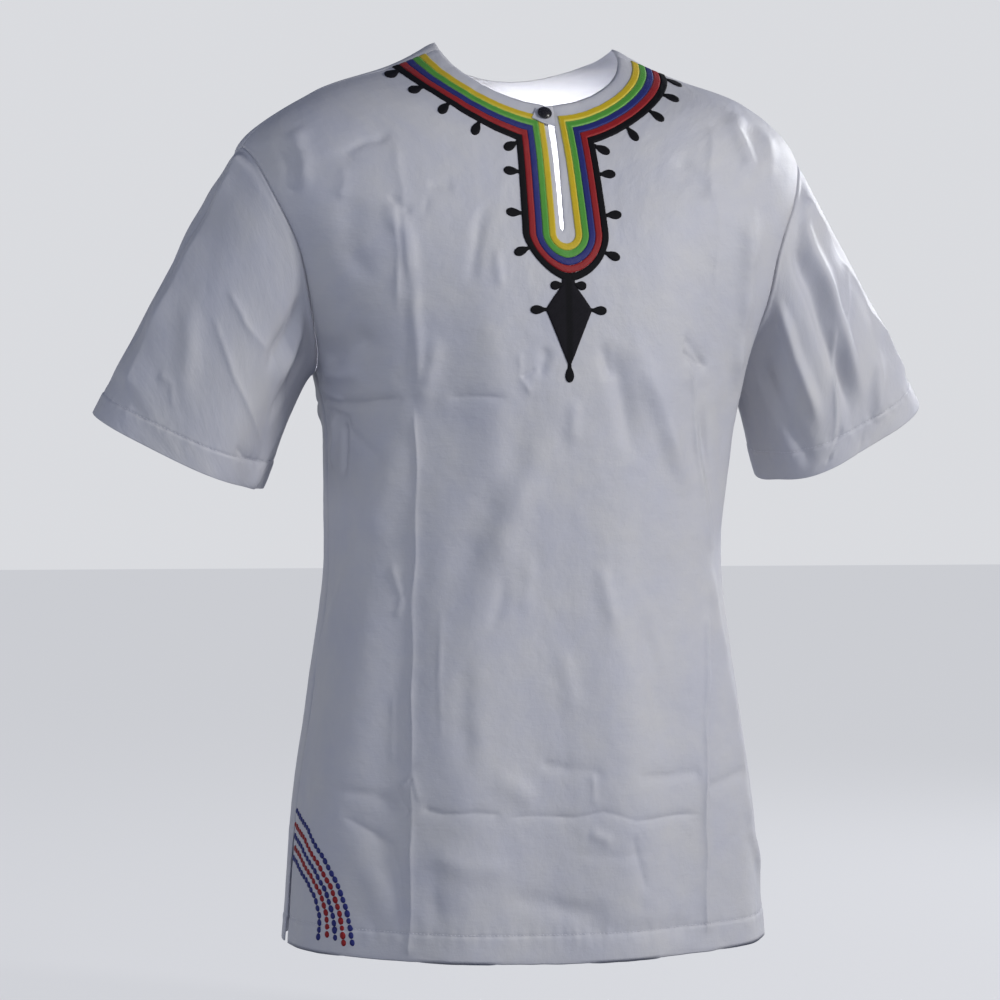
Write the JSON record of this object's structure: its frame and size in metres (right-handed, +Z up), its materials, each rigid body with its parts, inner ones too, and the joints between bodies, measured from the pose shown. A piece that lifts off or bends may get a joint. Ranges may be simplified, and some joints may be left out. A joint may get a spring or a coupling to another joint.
{
  "type": "embroidered tunic top, worn form",
  "caption": "Collarless short-sleeved white tunic top in its hollow worn form, with embroidered neck and slit bands, side vents and a button.",
  "frame": {"origin": "middle of the neck opening, level with the highest points of the shoulders, where a wearer's shoulders hold the top", "axes": "+Z up, the front faces -Y and the wearer's left is +X"},
  "size_m": [0.7344, 0.2936, 0.7751],
  "materials": {
    "white_cotton": "plain-woven cotton, pressed, with a soft sheen",
    "thread_yellow": "satin-stitched thread",
    "thread_green": "satin-stitched thread",
    "thread_blue": "satin-stitched thread",
    "thread_red": "satin-stitched thread",
    "thread_black": "satin-stitched thread",
    "black_plastic": "moulded, glossy"
  },
  "bodies": {
    "root": {"front": "white_cotton", "back": "white_cotton", "sleeve_left": "white_cotton", "sleeve_right": "white_cotton", "embroidery_yellow": "thread_yellow", "embroidery_green": "thread_green", "embroidery_blue": "thread_blue", "embroidery_red": "thread_red", "embroidery_black": "thread_black", "button_tab": "white_cotton", "button": "black_plastic"}
  },
  "joints": []
}
